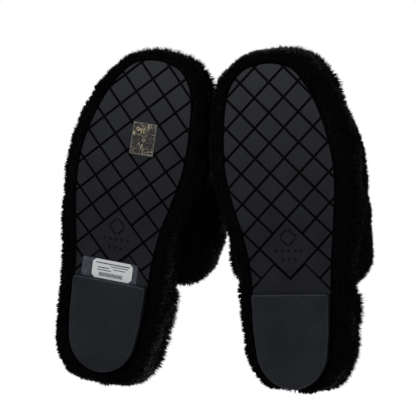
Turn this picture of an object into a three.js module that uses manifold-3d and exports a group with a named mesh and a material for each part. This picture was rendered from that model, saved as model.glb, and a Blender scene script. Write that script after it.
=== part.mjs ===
// A pair of fluffy house slippers: open-toe mules with a shearling band over the foot, a shearling
// wrap round the platform and a grooved rubber outsole with a separate heel lift.
// Millimetres, +Z up. The pair stands on Z = 0 with its toes towards -Y and its heels towards +Y.
// The left slipper is drawn; the right one is its mirror image, so each shape is made once.
// In a slipper's own plane, across is X (outer side of the left foot positive) and along is Y,
// measured from the tip of the outsole's toe towards the heel.
import * as THREE from 'three';
import { mergeVertices } from 'three/addons/utils/BufferGeometryUtils.js';
import Module from 'manifold-3d';

const wasm = await Module();
wasm.setup();

// Outsole
const soleLength = 255.5;
const ballInner = 49.6; // reach of the sole's edge from the centre line at the ball, big-toe side
const ballOuter = 39.4;
const waistInner = 32; // the same at the waist
const waistOuter = 33;
const heelHalfWidth = 31.6;
const toeTipAcross = -12.8; // the toe's tip lies towards the big toe
const outsoleThickness = 4.5;
const toeSpring = 7; // lift of the toe's tip off the floor
const ballContact = 105; // where along the sole the forepart touches the floor
const edgeBevel = 0.8;

// Grooves of the tread: squares turned by 45 degrees
const cellDiagonal = 23.7;
const grooveWidth = 1.4;
const grooveDepth = 1.3;
const firstCrossing = 2.9; // the crossing on the centre line nearest to the toe's tip
const panelCells = 2; // the plain diamond at the waist is this many cells across
const panelRow = 5; // crossing that is the diamond's front corner

// Heel lift
const heelLiftHeight = 5;
const heelLiftLength = 74.9; // from its straight front edge, the breast, to the heel's back
const heelLiftBevel = 1;
const heelLiftCorner = 2.2;
const heelLiftOverhang = 0.4;

// Layers above the outsole
const platformThickness = 15;
const boardThickness = 1.5;
const foamThickness = 6;
const sockThickness = 10;
const sockInset = 5; // from the sole's edge, room for the band's edges and the seam
const sockCrown = 3;

// Fur wrap round the platform
const wrapPile = 12; // how far it stands out past the outsole's edge
const wrapLip = 8; // width of its allowance, glued under the platform
const wrapLipThickness = 1.5;
const wrapHem = 1.2; // its lower edge above the outsole's underside
const seamDiameter = 0.9;

// Band over the foot: outer pile, interlining and lining
const pileThickness = 13;
const interliningThickness = 0.8;
const liningThickness = 2;
const bandFrontSide = 34; // front edge at the sides and on top, along the sole
const bandFrontTop = 58;
const bandRearInner = 180; // rear edge at the sides and on top
const bandRearOuter = 176;
const bandRearTop = 146;
const bandFrontHeight = 82; // height of the outer pile over the floor at the two edges
const bandRearHeight = 106;
const bandInnerFlare = 3.4; // widest reach of the band's inside past the ball, big-toe side
const bandOuterFlare = -0.4;
const bandFrontInnerNarrowing = 9;
const bandFrontOuterNarrowing = 12;
const bindingWidth = 3;
const bandSeatGap = 0.7; // its feet stand over the wrap's curved top on straight edges

// Stickers left by the shop, all blank, on the right slipper's outsole
const foilSticker = { width: 20, length: 25.6, corner: 0.8, across: -12.3, thickness: 0.12 };
const foilAlong = 63; // middle of the foil sticker, from the toe's tip
const labelTape = { width: 48, length: 15.4, corner: 0.6, across: 2.5, thickness: 0.08 };
const priceLabel = { width: 34.8, length: 15.4, corner: 2.5, across: 0, thickness: 0.12 };
const labelSetback = 0.5; // from the label's rear edge to the heel breast
const stickerGap = 0.25;

// The pair
const fitGap = 0.3; // clearance between pieces that touch
const pairOverlap = 15; // the bands' widest reaches may pass each other because one slipper is turned
const pairStagger = 8.5; // how far the right slipper is set ahead
const rightYaw = THREE.MathUtils.degToRad(10.8);

// Fineness of the facets
const ringCount = 44;
const heelArcCount = 12;
const bandAround = 14;
const bandAlong = 7;

// Sizes worked out from the ones above
const heelBreast = soleLength - heelLiftLength;
const bandInnerReach = ballInner + bandInnerFlare + pileThickness;
const bandOuterReach = ballOuter + bandOuterFlare + pileThickness;
const pairSpacing = 2 * bandInnerReach - pairOverlap; // between the slippers' centre lines at the toes

// Heights over the outsole's underside, each worked out from the layers below it
const outsoleTop = outsoleThickness;
const platformBottom = outsoleTop + fitGap;
const lipTop = platformBottom + wrapLipThickness;
const platformTop = platformBottom + platformThickness;
const boardBottom = platformTop + fitGap;
const foamBottom = boardBottom + boardThickness + fitGap;
const foamTop = foamBottom + foamThickness;
const seamBottom = foamTop + fitGap;
const wrapTop = seamBottom + seamDiameter;
const bandFoot = wrapTop + bandSeatGap;
const sockBottom = foamTop + fitGap;
const sockTop = sockBottom + sockThickness;

// Height of the outsole's underside over the floor: it rises to the toe, and over the heel lift.
function underside(along) {
  const toe = Math.max(0, 1 - along / ballContact);
  const waistEnd = heelBreast - 2.6;
  const heel = THREE.MathUtils.smoothstep(along, ballContact, waistEnd);
  return toeSpring * toe * toe + (heelLiftHeight + fitGap) * heel;
}

// Outline of the outsole, anticlockwise from the toe's tip: reach as a share of the ball's.
function soleOutline() {
  const at = (across, share) => new THREE.Vector3(across, share * soleLength, 0);
  const outer = [at(0.15 * ballOuter, 0.018), at(0.44 * ballOuter, 0.068), at(0.69 * ballOuter, 0.141),
    at(0.9 * ballOuter, 0.24), at(ballOuter, 0.345), at(0.955 * ballOuter, 0.48), at(waistOuter, 0.64)];
  const inner = [at(-waistInner, 0.64), at(-0.735 * ballInner, 0.53), at(-0.87 * ballInner, 0.43),
    at(-0.975 * ballInner, 0.34), at(-ballInner, 0.24), at(-0.95 * ballInner, 0.117),
    at(-0.865 * ballInner, 0.065), at(-0.65 * ballInner, 0.018)];
  return [at(toeTipAcross, 0), ...outer, ...heelPoints(1), at(0, 1), ...heelPoints(-1).reverse(), ...inner];
}

// The heel end of the outline on one side, from the breast to near the back.
function heelPoints(side) {
  const shares = [[1, 0.76], [0.965, 0.83], [0.84, 0.925], [0.53, 0.978]];
  return shares.map(([reach, share]) => new THREE.Vector3(side * reach * heelHalfWidth, share * soleLength, 0));
}

function spacedRing(points, count) {
  const curve = new THREE.CatmullRomCurve3(points, true, 'centripetal');
  return curve.getSpacedPoints(count).slice(0, count);
}

// Moves each point of an anticlockwise ring outwards, or inwards if the distance is negative.
function offsetRing(ring, distance) {
  return ring.map((point, i) => {
    const before = ring[(i + ring.length - 1) % ring.length];
    const after = ring[(i + 1) % ring.length];
    const tangent = new THREE.Vector3().subVectors(after, before).normalize();
    return new THREE.Vector3(point.x + tangent.y * distance, point.y - tangent.x * distance, 0);
  });
}

function geometryFrom(points, triangles) {
  const geometry = new THREE.BufferGeometry();
  const positions = points.flatMap((point) => [point.x, point.y, point.z]);
  geometry.setAttribute('position', new THREE.Float32BufferAttribute(positions, 3));
  geometry.setIndex(triangles);
  return geometry;
}

// Skins a stack of rings made by offsetting one ring. Each level is [offset, height over base].
// An open profile gets a floor and a lid; a closed one makes a hoop.
function loft(ring, profile, { hoop = false, base = underside } = {}) {
  const count = ring.length;
  const points = profile.flatMap(([offset, height]) =>
    offsetRing(ring, offset).map((p) => new THREE.Vector3(p.x, p.y, base(p.y) + height)));
  const triangles = [];
  const levels = hoop ? profile.length : profile.length - 1;
  for (let level = 0; level < levels; level += 1) {
    const low = level * count;
    const high = ((level + 1) % profile.length) * count;
    for (let i = 0; i < count; i += 1) {
      const next = (i + 1) % count;
      triangles.push(low + i, low + next, high + next, low + i, high + next, high + i);
    }
  }
  if (!hoop) {
    const lid = (profile.length - 1) * count;
    for (const [a, b, c] of ladder(count)) {
      triangles.push(lid + a, lid + b, lid + c, c, b, a);
    }
  }
  return geometryFrom(points, triangles);
}

// Triangles of a ring's inside, as rungs from one side of the shoe to the other.
function ladder(count) {
  const triangles = [];
  for (let i = 0; i < count / 2; i += 1) {
    const opposite = (count - i) % count;
    if (i + 1 < count - i - 1) triangles.push([i, i + 1, count - i - 1]);
    if (i > 0) triangles.push([i, count - i - 1, opposite]);
  }
  return triangles;
}

// Closed solid of manifold-3d from a geometry, and back.
function solidOf(geometry) {
  const bare = geometry.clone();
  bare.deleteAttribute('normal');
  bare.deleteAttribute('uv');
  const merged = mergeVertices(bare, 1e-4);
  const mesh = new wasm.Mesh({
    numProp: 3,
    vertProperties: merged.attributes.position.array,
    triVerts: new Uint32Array(merged.index.array),
  });
  return new wasm.Manifold(mesh);
}

function geometryOf(solid) {
  const mesh = solid.getMesh();
  const geometry = new THREE.BufferGeometry();
  geometry.setAttribute('position', new THREE.BufferAttribute(mesh.vertProperties, 3));
  geometry.setIndex(new THREE.BufferAttribute(mesh.triVerts, 1));
  return geometry;
}

const cutterReach = 30; // how far the cutters stand past what they cut

// A tall bar or square prism over the sole, turned by 45 degrees to one side.
function turnedPrism(width, length, across, along, turn) {
  const prism = new THREE.BoxGeometry(width, length, 2 * cutterReach);
  prism.rotateZ(turn * Math.PI / 4);
  prism.translate(across, along, 0);
  return solidOf(prism);
}

// The grooves run everywhere but in the plain diamond and the plain wedge behind it.
function tread(ring) {
  const crossing = (row) => firstCrossing + row * cellDiagonal;
  const barLength = 2 * soleLength;
  const lastRow = panelRow + 3;
  const bars = [];
  for (let row = -3; row <= lastRow; row += 1) {
    for (const turn of [-1, 1]) bars.push(turnedPrism(grooveWidth, barLength, 0, crossing(row), turn));
  }
  const cellSide = cellDiagonal / Math.SQRT2;
  const panelSide = panelCells * cellSide - grooveWidth;
  const panelMiddle = crossing(panelRow + panelCells / 2);
  const panel = turnedPrism(panelSide, panelSide, 0, panelMiddle, 1);
  const wedgeSide = soleLength;
  const wedgeMiddle = panelMiddle + (wedgeSide + grooveWidth) / Math.SQRT2;
  const wedge = turnedPrism(wedgeSide, wedgeSide, 0, wedgeMiddle, 1);
  const plain = panel.add(wedge);
  const grooves = bars.reduce((all, bar) => all.add(bar)).subtract(plain);
  const tip = crossing(panelRow + panelCells);
  const edge = panelCells * cellSide;
  const rims = [-1, 1].map((turn) => {
    const shift = edge / 2 / Math.SQRT2;
    return turnedPrism(grooveWidth, edge + grooveWidth, -turn * shift, tip - shift, -turn);
  });
  const layer = solidOf(loft(ring, [[3, -cutterReach / 3], [3, grooveDepth]]));
  return rims.reduce((all, rim) => all.add(rim), grooves).intersect(layer);
}

function outsole(ring) {
  const slab = loft(ring, [[-edgeBevel, 0], [0, edgeBevel], [0, outsoleTop]]);
  return geometryOf(solidOf(slab).subtract(tread(ring)));
}

// The heel lift's plan: a straight breast with round corners and the back of the sole's outline.
function heelLiftRing() {
  const back = [...heelPoints(1).slice(1), new THREE.Vector3(0, soleLength, 0), ...heelPoints(-1).slice(1).reverse()];
  const arc = new THREE.CatmullRomCurve3(back, false, 'centripetal').getSpacedPoints(2 * heelArcCount);
  const corner = (side) => [0, 0.5, 1].map((t) => {
    const angle = t * Math.PI / 2;
    const across = side * (heelHalfWidth - heelLiftCorner + heelLiftCorner * Math.sin(angle));
    return new THREE.Vector3(across, heelBreast + heelLiftCorner * (1 - Math.cos(angle)), 0);
  });
  return [new THREE.Vector3(0, heelBreast, 0), ...corner(1), ...arc, ...corner(-1).reverse()];
}

function heelLift() {
  const profile = [[-heelLiftBevel, 0], [-0.2 * heelLiftBevel, 0.5 * heelLiftHeight],
    [heelLiftOverhang, 0.8 * heelLiftHeight], [heelLiftOverhang, heelLiftHeight]];
  return loft(heelLiftRing(), profile, { base: () => 0 });
}

function platform(ring) {
  const lip = -wrapLip - fitGap;
  return loft(ring, [[lip, platformBottom], [lip, lipTop + fitGap], [0, lipTop + fitGap], [0, platformTop]]);
}

function slab(ring, bottom, thickness) {
  return loft(ring, [[0, bottom], [0, bottom + thickness]]);
}

function sock(ring) {
  return loft(ring, [[-sockInset, sockBottom], [-sockInset, sockTop - sockCrown],
    [-sockInset - sockCrown, sockTop - 0.25 * sockCrown], [-sockInset - 3 * sockCrown, sockTop]]);
}

// Section of the wrap: lip under the platform, hem beside the outsole, round pile, flat top.
function sideWrap(ring) {
  return loft(ring, [[-wrapLip, platformBottom], [fitGap, platformBottom], [fitGap, wrapHem],
    [0.65 * wrapPile, wrapHem + 0.4], [wrapPile, 0.3 * wrapTop], [0.97 * wrapPile, 0.75 * wrapTop],
    [0.55 * wrapPile, wrapTop], [fitGap, wrapTop], [fitGap, lipTop], [-wrapLip, lipTop]], { hoop: true });
}

// Seam that joins the sock, the band and the wrap, round the footbed's edge.
function footbedSeam(ring) {
  const inner = -1.8 * seamDiameter;
  return loft(ring, [[inner, seamBottom], [inner + seamDiameter, seamBottom],
    [inner + seamDiameter / 2, seamBottom + seamDiameter]], { hoop: true });
}

// Reach of the sole's edge from the centre line at a place along it.
function soleReach(ring, along, side) {
  const edge = ring.filter((point) => point.x * side > 0);
  const ordered = edge.sort((a, b) => a.y - b.y);
  const last = ordered.findIndex((point) => point.y > along);
  const [before, after] = [ordered[last - 1], ordered[last]];
  const share = (along - before.y) / (after.y - before.y);
  return Math.abs(THREE.MathUtils.lerp(before.x, after.x, share));
}

// The band's outer section at a share of the way from its front edge to its rear edge.
function bandSection(ring, share) {
  const footAlong = (rear) => THREE.MathUtils.lerp(bandFrontSide, rear, share);
  const outerAlong = footAlong(bandRearOuter);
  const innerAlong = footAlong(bandRearInner);
  const outerFoot = soleReach(ring, outerAlong, 1) + pileThickness + fitGap;
  const innerFoot = soleReach(ring, innerAlong, -1) + pileThickness + fitGap;
  const outerBase = underside(outerAlong) + bandFoot;
  const innerBase = underside(innerAlong) + bandFoot;
  const top = THREE.MathUtils.lerp(bandFrontHeight, bandRearHeight, Math.sin(share * Math.PI / 2));
  const forward = (1 - share) * (1 - share);
  const outer = bandOuterReach - bandFrontOuterNarrowing * forward;
  const inner = bandInnerReach - bandFrontInnerNarrowing * forward;
  const base = (outerBase + innerBase) / 2;
  const rise = top - base;
  const points = [[outerFoot, outerBase], [Math.max(outer, outerFoot) - 0.5, base + 0.18 * rise],
    [outer - 1.5, base + 0.42 * rise], [0.74 * outer, base + 0.82 * rise], [-0.1 * inner, top],
    [-0.76 * inner, base + 0.86 * rise], [-inner + 1, base + 0.46 * rise],
    [-Math.max(inner - 3, innerFoot - 1), base + 0.2 * rise], [-innerFoot, innerBase]];
  return new THREE.CatmullRomCurve3(points.map(([x, z]) => new THREE.Vector3(x, 0, z)), false, 'centripetal');
}

// Points of a surface that lies a given depth under the band's outer pile, in rows at the given
// shares of the way from the front edge to the rear edge.
function bandSurface(ring, depth, shares) {
  return shares.map((share) => {
    const section = bandSection(ring, share).getSpacedPoints(bandAround);
    return section.map((point, i) => {
      const around = i / bandAround;
      const before = section[Math.max(0, i - 1)];
      const after = section[Math.min(bandAround, i + 1)];
      const tangent = new THREE.Vector3().subVectors(after, before).normalize();
      const foot = i === 0 || i === bandAround;
      const inwardX = foot ? (i === 0 ? -1 : 1) : -tangent.z;
      const inwardZ = foot ? 0 : tangent.x;
      const crest = Math.sin(around * Math.PI);
      const front = THREE.MathUtils.lerp(bandFrontSide, bandFrontTop, crest ** 1.5);
      const side = around < 0.5 ? bandRearOuter : bandRearInner;
      const rear = THREE.MathUtils.lerp(side, bandRearTop, crest);
      const along = THREE.MathUtils.lerp(front, rear, share);
      return new THREE.Vector3(point.x + inwardX * depth, along, point.z + inwardZ * depth);
    });
  });
}

// Solid between two surfaces with the same grid of points.
function between(outer, inner) {
  const rows = outer.length;
  const columns = outer[0].length;
  const points = [...outer.flat(), ...inner.flat()];
  const o = (row, column) => row * columns + column;
  const i = (row, column) => rows * columns + o(row, column);
  const triangles = [];
  const quad = (a, b, c, d) => triangles.push(a, b, c, a, c, d);
  for (let r = 0; r < rows - 1; r += 1) {
    for (let c = 0; c < columns - 1; c += 1) {
      quad(o(r, c), o(r + 1, c), o(r + 1, c + 1), o(r, c + 1));
      quad(i(r, c), i(r, c + 1), i(r + 1, c + 1), i(r + 1, c));
    }
    quad(o(r, 0), i(r, 0), i(r + 1, 0), o(r + 1, 0));
    quad(o(r, columns - 1), o(r + 1, columns - 1), i(r + 1, columns - 1), i(r, columns - 1));
  }
  const end = rows - 1;
  for (let c = 0; c < columns - 1; c += 1) {
    quad(o(0, c), o(0, c + 1), i(0, c + 1), i(0, c));
    quad(o(end, c), i(end, c), i(end, c + 1), o(end, c + 1));
  }
  return geometryFrom(points, triangles);
}

function bandLayer(ring, depth, thickness, shares) {
  return between(bandSurface(ring, depth, shares), bandSurface(ring, depth + thickness, shares));
}

// Plan of a sticker: a rectangle with round corners, from the middle of its front edge.
function stickerRing({ width, length, corner, across }, along) {
  const halfWidth = width / 2;
  const halfLength = length / 2;
  const right = [[0, -halfLength], [halfWidth - corner, -halfLength], [halfWidth, corner - halfLength],
    [halfWidth, -halfLength / 3], [halfWidth, halfLength / 3], [halfWidth, halfLength - corner],
    [halfWidth - corner, halfLength]];
  const left = right.slice(1).map(([x, y]) => [-x, y]).reverse();
  return [...right, [0, halfLength], ...left].map(([x, y]) => new THREE.Vector3(across + x, along + y, 0));
}

function sticker(size, along, depth) {
  const ring = stickerRing(size, along);
  return loft(ring, [[0, -depth - size.thickness], [0, -depth]]);
}

// Colours
const looks = {
  rubber: { color: 0x232428, roughness: 0.62, metalness: 0 },
  foam: { color: 0x2a2a2c, roughness: 0.85, metalness: 0 },
  cushion: { color: 0xb9b4a6, roughness: 0.9, metalness: 0 },
  board: { color: 0x8a7558, roughness: 0.85, metalness: 0 },
  pile: { color: 0x0e0f10, roughness: 0.95, metalness: 0 },
  lining: { color: 0x141416, roughness: 0.95, metalness: 0 },
  interlining: { color: 0x4a4a4c, roughness: 0.9, metalness: 0 },
  thread: { color: 0x17171a, roughness: 0.7, metalness: 0 },
  foil: { color: 0x9b9384, roughness: 0.35, metalness: 0.6 },
  tape: { color: 0xd9dde0, roughness: 0.2, metalness: 0 },
  label: { color: 0xf3f3f1, roughness: 0.7, metalness: 0 },
};

// Every piece of the left slipper: name, shape and look.
function slipperPieces() {
  const ring = spacedRing(soleOutline(), ringCount);
  const interliningDepth = pileThickness + fitGap;
  const liningDepth = interliningDepth + interliningThickness + fitGap;
  const bandLength = bandRearTop - bandFrontTop;
  const bindingShare = bindingWidth / bandLength;
  const bindingGap = fitGap / bandLength;
  const coreStart = bindingShare + bindingGap;
  const middle = Array.from({ length: bandAlong - 3 }, (_, i) => (i + 1) / (bandAlong - 2));
  const whole = [0, bindingShare, ...middle, 1 - bindingShare, 1];
  const core = [coreStart, ...middle, 1 - coreStart];
  const frontEdge = [0, bindingShare];
  const rearEdge = [1 - bindingShare, 1];
  return [
    ['outsole', outsole(ring), looks.rubber],
    ['heel_lift', heelLift(), looks.rubber],
    ['platform', platform(ring), looks.foam],
    ['insole_board', slab(ring, boardBottom, boardThickness), looks.board],
    ['cushion_foam', slab(ring, foamBottom, foamThickness), looks.cushion],
    ['sock', sock(ring), looks.lining],
    ['side_wrap', sideWrap(ring), looks.pile],
    ['footbed_seam', footbedSeam(ring), looks.thread],
    ['band_pile', bandLayer(ring, 0, pileThickness, whole), looks.pile],
    ['band_interlining', bandLayer(ring, interliningDepth, interliningThickness, core), looks.interlining],
    ['band_lining', bandLayer(ring, liningDepth, liningThickness, whole), looks.lining],
    ['band_front_binding', bandLayer(ring, interliningDepth, interliningThickness, frontEdge), looks.thread],
    ['band_rear_binding', bandLayer(ring, interliningDepth, interliningThickness, rearEdge), looks.thread],
  ];
}

// Mirror image of a geometry in the plane X = 0, with its faces still pointing out.
function mirrored(geometry) {
  const copy = geometry.clone().applyMatrix4(new THREE.Matrix4().makeScale(-1, 1, 1));
  const index = Array.from(copy.index.array);
  for (let i = 0; i < index.length; i += 3) [index[i + 1], index[i + 2]] = [index[i + 2], index[i + 1]];
  copy.setIndex(index);
  return copy;
}

function pieceMesh(name, geometry, look) {
  const mesh = new THREE.Mesh(geometry, new THREE.MeshStandardMaterial(look));
  mesh.name = name;
  return mesh;
}

const left = new THREE.Group();
const right = new THREE.Group();
for (const [name, geometry, look] of slipperPieces()) {
  left.add(pieceMesh(`left_${name}`, geometry, look));
  right.add(pieceMesh(`right_${name}`, mirrored(geometry), look));
}
const tapeDepth = stickerGap;
const labelDepth = tapeDepth + labelTape.thickness + stickerGap;
const labelAlong = heelBreast - labelSetback - priceLabel.length / 2;
right.add(pieceMesh('foil_sticker', mirrored(sticker(foilSticker, foilAlong, stickerGap)), looks.foil));
right.add(pieceMesh('label_tape', mirrored(sticker(labelTape, labelAlong, tapeDepth)), looks.tape));
right.add(pieceMesh('price_label', mirrored(sticker(priceLabel, labelAlong, labelDepth)), looks.label));
right.position.set(-pairSpacing, -pairStagger, 0);
right.rotation.z = rightYaw;

const pair = new THREE.Group();
pair.add(left, right);
pair.updateMatrixWorld(true);
const box = new THREE.Box3().setFromObject(pair, true);
const middle = box.getCenter(new THREE.Vector3());
pair.position.set(-middle.x, -middle.y, -box.min.z);
pair.updateMatrixWorld(true);

export default pair;
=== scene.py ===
"""Looks of a pair of fluffy house slippers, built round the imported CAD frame.

Shapes are worked out in each slipper's own plane, in millimetres: across is positive on the outer side
of the left foot, along runs from the toe's tip to the heel, and height is over the floor. The right
slipper is the left one's mirror image, turned and set a little ahead.
"""

import math

import bmesh
import bpy
import numpy as np
from mathutils import Matrix, Vector


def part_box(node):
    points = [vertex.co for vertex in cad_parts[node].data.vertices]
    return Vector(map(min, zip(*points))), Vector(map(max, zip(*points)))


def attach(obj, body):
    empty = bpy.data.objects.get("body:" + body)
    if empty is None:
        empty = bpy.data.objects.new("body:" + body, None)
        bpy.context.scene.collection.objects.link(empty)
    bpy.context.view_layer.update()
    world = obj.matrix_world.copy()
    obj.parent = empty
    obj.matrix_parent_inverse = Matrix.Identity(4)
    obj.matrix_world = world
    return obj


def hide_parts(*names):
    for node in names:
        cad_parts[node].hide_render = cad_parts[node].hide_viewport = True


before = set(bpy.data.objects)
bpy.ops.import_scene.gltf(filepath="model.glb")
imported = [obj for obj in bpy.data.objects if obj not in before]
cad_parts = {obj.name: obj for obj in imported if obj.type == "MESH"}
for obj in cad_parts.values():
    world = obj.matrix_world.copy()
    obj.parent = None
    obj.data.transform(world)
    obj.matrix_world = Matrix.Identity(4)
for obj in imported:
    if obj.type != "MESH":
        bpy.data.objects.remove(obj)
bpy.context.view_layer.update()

MM = 0.001

# Sizes shared with the CAD model, in millimetres
SOLE_LENGTH = 255.5
BALL_INNER = 49.6
BALL_OUTER = 39.4
WAIST_INNER = 32.0
WAIST_OUTER = 33.0
HEEL_HALF_WIDTH = 31.6
TOE_TIP_ACROSS = -12.8
OUTSOLE_THICKNESS = 4.5
TOE_SPRING = 7.0
BALL_CONTACT = 105.0
CELL_DIAGONAL = 23.7
GROOVE_WIDTH = 1.4
GROOVE_DEPTH = 1.3
FIRST_CROSSING = 2.9
PANEL_ROW = 5
HEEL_LIFT_HEIGHT = 5.0
HEEL_LIFT_LENGTH = 74.9
HEEL_LIFT_CORNER = 2.2
HEEL_LIFT_OVERHANG = 0.4
HEEL_BREAST = SOLE_LENGTH - HEEL_LIFT_LENGTH
LIFT_RUN = 2.6  # how far in front of the breast the sole has come up to the lift's top
FIT_GAP = 0.3
SEAM_HEIGHT = 28.4
BAND_FOOT = 30.0
SOCK_TOP = 38.4
PILE_THICKNESS = 13.0
BAND_FRONT_SIDE = 34.0
BAND_FRONT_TOP = 58.0
BAND_REAR_INNER = 180.0
BAND_REAR_OUTER = 176.0
BAND_REAR_TOP = 146.0
BAND_FRONT_HEIGHT = 82.0
BAND_REAR_HEIGHT = 106.0
BAND_INNER_REACH = 66.0
BAND_OUTER_REACH = 52.0
BAND_FRONT_INNER_NARROWING = 9.0
BAND_FRONT_OUTER_NARROWING = 12.0
PAIR_SPACING = 117.0
PAIR_STAGGER = 8.5
RIGHT_YAW = math.radians(10.8)

SIDES = ("left", "right")


# ------ places


def left_origin():
    """The left slipper's toe tip on its centre line, in the row frame, in millimetres."""
    lift_low, lift_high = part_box("left_heel_lift")
    _, sole_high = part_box("left_outsole")
    return np.array([(lift_low.x + lift_high.x) / 2 / MM, sole_high.y / MM - SOLE_LENGTH, 0.0])


LEFT_ORIGIN = left_origin()


def placed(points, side):
    """Points of a slipper's own plane, in millimetres, as row-frame points in metres."""
    points = np.asarray(points, float).reshape(-1, 3)
    if side == "left":
        return (points + LEFT_ORIGIN) * MM
    across, along = -points[:, 0], points[:, 1]
    cosine, sine = math.cos(RIGHT_YAW), math.sin(RIGHT_YAW)
    turned = np.stack([across * cosine - along * sine, across * sine + along * cosine, points[:, 2]], 1)
    return (turned + LEFT_ORIGIN - [PAIR_SPACING, PAIR_STAGGER, 0.0]) * MM


def linked(name, data):
    """A new object in the scene."""
    obj = bpy.data.objects.new(name, data)
    bpy.context.collection.objects.link(obj)
    return obj


def make_piece(name, shape, side, material, slot, *nodes, smooth=True):
    """A mesh object from points and faces in the left slipper's plane; the right one is mirrored."""
    points, faces = shape
    mesh = bpy.data.meshes.new(name)
    if side == "right":
        faces = [face[::-1] for face in faces]
    mesh.from_pydata(placed(points, side).tolist(), [], [list(map(int, face)) for face in faces])
    mesh.update()
    mesh.materials.append(MATERIALS[material])
    mesh.polygons.foreach_set("use_smooth", [smooth] * len(mesh.polygons))
    return fit(linked(name, mesh), side, slot, *nodes)


def give_attribute(mesh, name, values):
    """A number at each point, which the material reads."""
    mesh.attributes.new(name, "FLOAT", "POINT").data.foreach_set("value", np.asarray(values, np.float32))


def fit(piece, side, slot, *nodes):
    """Names the body that a piece rides and hides the CAD nodes it stands for; slot is not used."""
    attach(piece, f"{side}_slipper")
    if nodes:
        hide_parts(*nodes)
    return piece


def finish_node(node, material):
    """A CAD node that shows as it is, with a finish of its own."""
    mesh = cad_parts[node].data
    mesh.materials.clear()
    mesh.materials.append(material)


# ------ curves


def unit(vectors):
    """Vectors along the last axis, brought to length one."""
    return vectors / np.linalg.norm(vectors, axis=-1, keepdims=True)


def smoothstep(value, low, high):
    share = np.clip((np.asarray(value, float) - low) / (high - low), 0.0, 1.0)
    return share * share * (3 - 2 * share)


def spline(points, closed, per_segment=24):
    """Centripetal Catmull-Rom curve through points."""
    points = np.asarray(points, float)
    if closed:
        padded = np.vstack([points[-1], points, points[:2]])
    else:
        padded = np.vstack([2 * points[0] - points[1], points, 2 * points[-1] - points[-2]])
    out = []
    for p0, p1, p2, p3 in zip(padded[:-3], padded[1:-2], padded[2:-1], padded[3:]):
        steps = (np.linalg.norm(b - a) for a, b in ((p0, p1), (p1, p2), (p2, p3)))
        knots = np.cumsum([0.0] + [math.sqrt(step) for step in steps])
        t = np.linspace(knots[1], knots[2], per_segment, endpoint=False)[:, None]

        def between(a, b, i, j, t=t, knots=knots):
            return a + (b - a) * (t - knots[i]) / (knots[j] - knots[i])

        a1, a2, a3 = between(p0, p1, 0, 1), between(p1, p2, 1, 2), between(p2, p3, 2, 3)
        out.append(between(between(a1, a2, 0, 2), between(a2, a3, 1, 3), 1, 2))
    if not closed:
        out.append(points[-1:])
    return np.vstack(out)


def evenly(points, count, closed):
    """count points at even spacing along a polyline."""
    line = np.vstack([points, points[:1]]) if closed else points
    lengths = np.concatenate([[0.0], np.cumsum(np.linalg.norm(np.diff(line, axis=0), axis=1))])
    wanted = np.linspace(0.0, lengths[-1], count, endpoint=not closed)
    return np.stack([np.interp(wanted, lengths, line[:, axis]) for axis in range(line.shape[1])], 1)


def outward(ring):
    """Outward normals of an anticlockwise closed ring."""
    tangent = unit(np.roll(ring, -1, 0) - np.roll(ring, 1, 0))
    return np.stack([tangent[:, 1], -tangent[:, 0]], 1)


def underside(along):
    """Height of the outsole's underside over the floor."""
    toe = np.maximum(0.0, 1.0 - np.asarray(along, float) / BALL_CONTACT)
    heel = smoothstep(along, BALL_CONTACT, HEEL_BREAST - LIFT_RUN)
    return TOE_SPRING * toe * toe + (HEEL_LIFT_HEIGHT + FIT_GAP) * heel


def heel_points(side):
    shares = ((1.0, 0.76), (0.965, 0.83), (0.84, 0.925), (0.53, 0.978))
    return [(side * reach * HEEL_HALF_WIDTH, share * SOLE_LENGTH) for reach, share in shares]


def sole_outline():
    outer = [(0.15, 0.018), (0.44, 0.068), (0.69, 0.141), (0.9, 0.24), (1.0, 0.345), (0.955, 0.48)]
    inner = [(0.735, 0.53), (0.87, 0.43), (0.975, 0.34), (1.0, 0.24), (0.95, 0.117), (0.865, 0.065),
             (0.65, 0.018)]
    points = [(TOE_TIP_ACROSS, 0.0)]
    points += [(reach * BALL_OUTER, share * SOLE_LENGTH) for reach, share in outer]
    points += [(WAIST_OUTER, 0.64 * SOLE_LENGTH), *heel_points(1), (0.0, SOLE_LENGTH)]
    points += [*heel_points(-1)[::-1], (-WAIST_INNER, 0.64 * SOLE_LENGTH)]
    points += [(-reach * BALL_INNER, share * SOLE_LENGTH) for reach, share in inner]
    return spline(points, closed=True)


OUTLINE = sole_outline()


def sole_reach(along, side):
    """Distance from the centre line to the sole's edge on one side."""
    edge = OUTLINE[OUTLINE[:, 0] * side > 0]
    edge = edge[np.argsort(edge[:, 1])]
    return np.abs(np.interp(along, edge[:, 1], edge[:, 0]))


# ------ meshes from grids


def grid_faces(rows, columns, close_rows=False, close_columns=False):
    faces = []
    for row in range(rows if close_rows else rows - 1):
        for column in range(columns if close_columns else columns - 1):
            next_row, next_column = (row + 1) % rows, (column + 1) % columns
            faces.append((row * columns + column, row * columns + next_column,
                          next_row * columns + next_column, next_row * columns + column))
    return faces


def grid_normals(grid, close_rows, close_columns):
    """Unit normals of a grid of points, row direction along the first axis."""
    def slope(axis, closed):
        line = np.moveaxis(grid, axis, 0)
        difference = np.roll(line, -1, 0) - np.roll(line, 1, 0)
        if not closed:
            difference[0], difference[-1] = line[1] - line[0], line[-1] - line[-2]
        return np.moveaxis(difference, 0, axis)

    normal = np.cross(slope(1, close_columns), slope(0, close_rows))
    return normal / np.maximum(np.linalg.norm(normal, axis=2), 1e-9)[..., None]


def ripple(points, wavelength, amplitude, rng, waves=7):
    """Smooth random scalar field at points, from a few plane waves."""
    value = np.zeros(len(points))
    for _ in range(waves):
        direction = unit(rng.normal(size=3))
        length = wavelength * rng.uniform(0.7, 1.6)
        value += np.sin(points @ direction * (2 * math.pi / length) + rng.uniform(0, 2 * math.pi))
    return value * amplitude / math.sqrt(waves)


# ------ fur


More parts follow.
